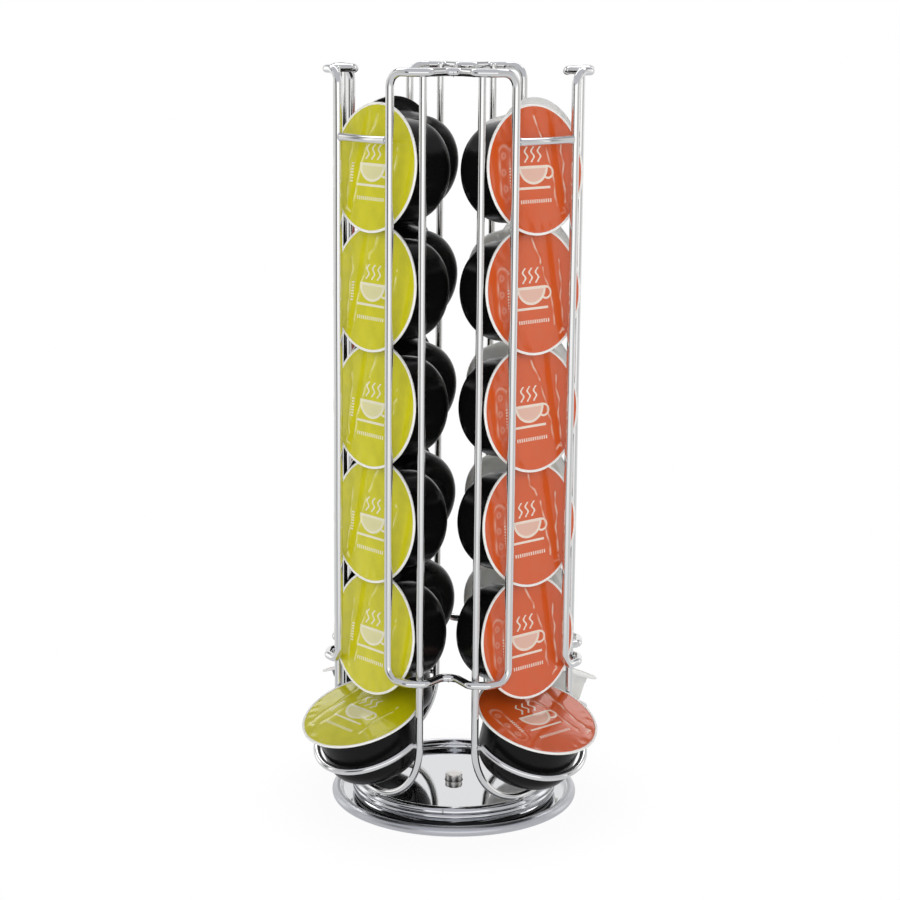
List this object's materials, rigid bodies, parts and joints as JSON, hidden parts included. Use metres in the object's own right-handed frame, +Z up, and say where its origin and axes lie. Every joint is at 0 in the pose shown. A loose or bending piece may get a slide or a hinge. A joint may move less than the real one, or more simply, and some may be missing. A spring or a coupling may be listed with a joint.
{
  "type": "coffee capsule dispenser",
  "caption": "Revolving chrome wire dispenser with four columns of coffee capsules, tilted cradles at the foot, and a mirror turntable on a round base.",
  "frame": {"origin": "middle of the underside of the foot ring, on the turning axis", "axes": "+Z up along the turning axis; the open sides between columns face -Y (front), +X, +Y and -X, and the columns stand on the diagonals"},
  "size_m": [0.1286, 0.1286, 0.3276],
  "materials": {
    "wire_chrome": "polished chrome on steel wire",
    "plate_chrome": "mirror chrome on pressed steel sheet",
    "pin_steel": "turned bright steel",
    "slip_plastic": "clear plastic with a blue cast",
    "foot_rubber": "matt black rubber",
    "capsule_front_left": "black satin cup under a glossy yellow-green foil lid",
    "capsule_front_right": "black satin cup under a glossy orange-red foil lid",
    "capsule_back_right": "light grey cup under a cream foil lid",
    "capsule_back_left": "black satin cup under a dark red foil lid"
  },
  "bodies": {
    "base": {"base_dish": "plate_chrome", "foot_ring": "foot_rubber", "slip_ring": "slip_plastic", "pivot_pin": "pin_steel", "pivot_nut": "pin_steel"},
    "rack": {"turntable_plate": "plate_chrome", "pivot_washer": "slip_plastic", "side_loop_front": "wire_chrome", "side_loop_right": "wire_chrome", "side_loop_back": "wire_chrome", "side_loop_left": "wire_chrome", "column_rail_front_left": "wire_chrome", "column_rail_front_right": "wire_chrome", "column_rail_back_right": "wire_chrome", "column_rail_back_left": "wire_chrome", "cradle_front_left": "wire_chrome", "cradle_front_right": "wire_chrome", "cradle_back_right": "wire_chrome", "cradle_back_left": "wire_chrome", "retainer_bar_front_left": "wire_chrome", "retainer_bar_front_right": "wire_chrome", "retainer_bar_back_right": "wire_chrome", "retainer_bar_back_left": "wire_chrome"},
    "capsule_front_left_1": {"capsule_front_left_1": "capsule_front_left"},
    "capsule_front_left_2": {"capsule_front_left_2": "capsule_front_left"},
    "capsule_front_left_3": {"capsule_front_left_3": "capsule_front_left"},
    "capsule_front_left_4": {"capsule_front_left_4": "capsule_front_left"},
    "capsule_front_left_5": {"capsule_front_left_5": "capsule_front_left"},
    "capsule_front_left_6": {"capsule_front_left_6": "capsule_front_left"},
    "capsule_front_right_1": {"capsule_front_right_1": "capsule_front_right"},
    "capsule_front_right_2": {"capsule_front_right_2": "capsule_front_right"},
    "capsule_front_right_3": {"capsule_front_right_3": "capsule_front_right"},
    "capsule_front_right_4": {"capsule_front_right_4": "capsule_front_right"},
    "capsule_front_right_5": {"capsule_front_right_5": "capsule_front_right"},
    "capsule_front_right_6": {"capsule_front_right_6": "capsule_front_right"},
    "capsule_back_right_1": {"capsule_back_right_1": "capsule_back_right"},
    "capsule_back_right_2": {"capsule_back_right_2": "capsule_back_right"},
    "capsule_back_right_3": {"capsule_back_right_3": "capsule_back_right"},
    "capsule_back_right_4": {"capsule_back_right_4": "capsule_back_right"},
    "capsule_back_right_5": {"capsule_back_right_5": "capsule_back_right"},
    "capsule_back_right_6": {"capsule_back_right_6": "capsule_back_right"},
    "capsule_back_left_1": {"capsule_back_left_1": "capsule_back_left"},
    "capsule_back_left_2": {"capsule_back_left_2": "capsule_back_left"},
    "capsule_back_left_3": {"capsule_back_left_3": "capsule_back_left"},
    "capsule_back_left_4": {"capsule_back_left_4": "capsule_back_left"},
    "capsule_back_left_5": {"capsule_back_left_5": "capsule_back_left"},
    "capsule_back_left_6": {"capsule_back_left_6": "capsule_back_left"}
  },
  "joints": [
    {"name": "turntable_spin", "type": "hinge", "parent": "base", "child": "rack", "pos_m": [0, 0, 0], "axis": [0, 0, 1], "continuous": true},
    {"name": "front_left_6_lift", "type": "slide", "parent": "rack", "child": "capsule_front_left_6", "axis": [-0.2453, -0.2453, 0.9379], "range_m": [0, 0.012]},
    {"name": "front_left_5_lift", "type": "slide", "parent": "rack", "child": "capsule_front_left_5", "axis": [0, 0, 1], "range_m": [0, 0.013]},
    {"name": "front_left_4_lift", "type": "slide", "parent": "capsule_front_left_5", "child": "capsule_front_left_4", "axis": [0, 0, 1], "range_m": [0, 0.05]},
    {"name": "front_left_3_lift", "type": "slide", "parent": "capsule_front_left_4", "child": "capsule_front_left_3", "axis": [0, 0, 1], "range_m": [0, 0.05]},
    {"name": "front_left_2_lift", "type": "slide", "parent": "capsule_front_left_3", "child": "capsule_front_left_2", "axis": [0, 0, 1], "range_m": [0, 0.05]},
    {"name": "front_left_1_lift", "type": "slide", "parent": "capsule_front_left_2", "child": "capsule_front_left_1", "axis": [0, 0, 1], "range_m": [0, 0.075]},
    {"name": "front_right_6_lift", "type": "slide", "parent": "rack", "child": "capsule_front_right_6", "axis": [0.2453, -0.2453, 0.9379], "range_m": [0, 0.012]},
    {"name": "front_right_5_lift", "type": "slide", "parent": "rack", "child": "capsule_front_right_5", "axis": [0, 0, 1], "range_m": [0, 0.013]},
    {"name": "front_right_4_lift", "type": "slide", "parent": "capsule_front_right_5", "child": "capsule_front_right_4", "axis": [0, 0, 1], "range_m": [0, 0.05]},
    {"name": "front_right_3_lift", "type": "slide", "parent": "capsule_front_right_4", "child": "capsule_front_right_3", "axis": [0, 0, 1], "range_m": [0, 0.05]},
    {"name": "front_right_2_lift", "type": "slide", "parent": "capsule_front_right_3", "child": "capsule_front_right_2", "axis": [0, 0, 1], "range_m": [0, 0.05]},
    {"name": "front_right_1_lift", "type": "slide", "parent": "capsule_front_right_2", "child": "capsule_front_right_1", "axis": [0, 0, 1], "range_m": [0, 0.075]},
    {"name": "back_right_6_lift", "type": "slide", "parent": "rack", "child": "capsule_back_right_6", "axis": [0.2453, 0.2453, 0.9379], "range_m": [0, 0.012]},
    {"name": "back_right_5_lift", "type": "slide", "parent": "rack", "child": "capsule_back_right_5", "axis": [0, 0, 1], "range_m": [0, 0.013]},
    {"name": "back_right_4_lift", "type": "slide", "parent": "capsule_back_right_5", "child": "capsule_back_right_4", "axis": [0, 0, 1], "range_m": [0, 0.05]},
    {"name": "back_right_3_lift", "type": "slide", "parent": "capsule_back_right_4", "child": "capsule_back_right_3", "axis": [0, 0, 1], "range_m": [0, 0.05]},
    {"name": "back_right_2_lift", "type": "slide", "parent": "capsule_back_right_3", "child": "capsule_back_right_2", "axis": [0, 0, 1], "range_m": [0, 0.05]},
    {"name": "back_right_1_lift", "type": "slide", "parent": "capsule_back_right_2", "child": "capsule_back_right_1", "axis": [0, 0, 1], "range_m": [0, 0.075]},
    {"name": "back_left_6_lift", "type": "slide", "parent": "rack", "child": "capsule_back_left_6", "axis": [-0.2453, 0.2453, 0.9379], "range_m": [0, 0.012]},
    {"name": "back_left_5_lift", "type": "slide", "parent": "rack", "child": "capsule_back_left_5", "axis": [0, 0, 1], "range_m": [0, 0.013]},
    {"name": "back_left_4_lift", "type": "slide", "parent": "capsule_back_left_5", "child": "capsule_back_left_4", "axis": [0, 0, 1], "range_m": [0, 0.05]},
    {"name": "back_left_3_lift", "type": "slide", "parent": "capsule_back_left_4", "child": "capsule_back_left_3", "axis": [0, 0, 1], "range_m": [0, 0.05]},
    {"name": "back_left_2_lift", "type": "slide", "parent": "capsule_back_left_3", "child": "capsule_back_left_2", "axis": [0, 0, 1], "range_m": [0, 0.05]},
    {"name": "back_left_1_lift", "type": "slide", "parent": "capsule_back_left_2", "child": "capsule_back_left_1", "axis": [0, 0, 1], "range_m": [0, 0.075]}
  ],
  "couplings": [
    {"joint": "front_left_5_lift", "follows": "front_left_6_lift", "ratio": 1},
    {"joint": "front_right_5_lift", "follows": "front_right_6_lift", "ratio": 1},
    {"joint": "back_right_5_lift", "follows": "back_right_6_lift", "ratio": 1},
    {"joint": "back_left_5_lift", "follows": "back_left_6_lift", "ratio": 1}
  ]
}
